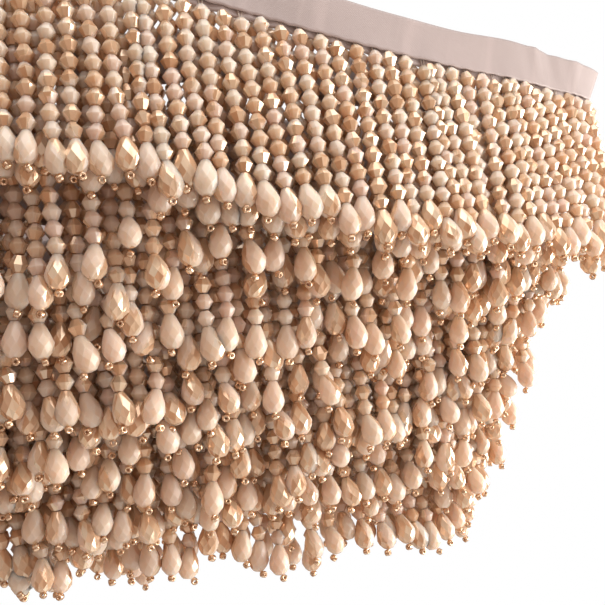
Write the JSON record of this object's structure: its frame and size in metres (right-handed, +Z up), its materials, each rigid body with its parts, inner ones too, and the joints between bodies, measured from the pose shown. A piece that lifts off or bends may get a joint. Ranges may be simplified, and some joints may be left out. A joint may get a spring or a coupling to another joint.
{
  "type": "roll of beaded fringe trim",
  "caption": "Loose oblong roll of satin ribbon with a hanging fringe of faceted glass beads, each inner turn a little lower than the one around it, held at one side.",
  "frame": {"origin": "the held point, in the middle of the ribbon's thickness on the top edge of the outer turn where that edge is highest", "axes": "+X along the long side of the roll towards the ribbon's free end, +Y from the front to the back, +Z up"},
  "size_m": [0.2239, 0.1483, 0.1516],
  "materials": {
    "ribbon": "pale rose-mauve satin, fine diagonal weave",
    "beads": "milky opaque faceted glass, half coated with champagne lustre"
  },
  "bodies": {
    "root": {"ribbon": "ribbon", "fringe_1_front": "beads", "fringe_1_front_left": "beads", "fringe_1_back_left": "beads", "fringe_1_back": "beads", "fringe_1_back_right": "beads", "fringe_1_right_corner": "beads", "fringe_2_front": "beads", "fringe_2_front_left": "beads", "fringe_2_back_left": "beads", "fringe_2_back": "beads", "fringe_2_back_right": "beads", "fringe_2_right_corner": "beads", "fringe_3_front": "beads", "fringe_3_front_left": "beads", "fringe_3_back_left": "beads", "fringe_3_back": "beads", "fringe_3_back_right": "beads", "fringe_3_right_corner": "beads", "fringe_4_front": "beads", "fringe_4_front_left": "beads", "fringe_4_back_left": "beads", "fringe_4_back": "beads", "fringe_4_back_right": "beads", "fringe_4_right_corner": "beads", "fringe_5_front": "beads", "fringe_5_front_left": "beads", "fringe_5_back_left": "beads", "fringe_5_back": "beads", "fringe_5_back_right": "beads", "fringe_5_right_corner": "beads", "fringe_6_front": "beads", "fringe_6_left": "beads", "fringe_6_back": "beads", "fringe_6_right": "beads", "fringe_7_front": "beads", "fringe_7_left": "beads", "fringe_7_back": "beads", "fringe_7_right": "beads", "fringe_8_front": "beads", "fringe_8_left": "beads", "fringe_8_back": "beads"}
  },
  "joints": []
}
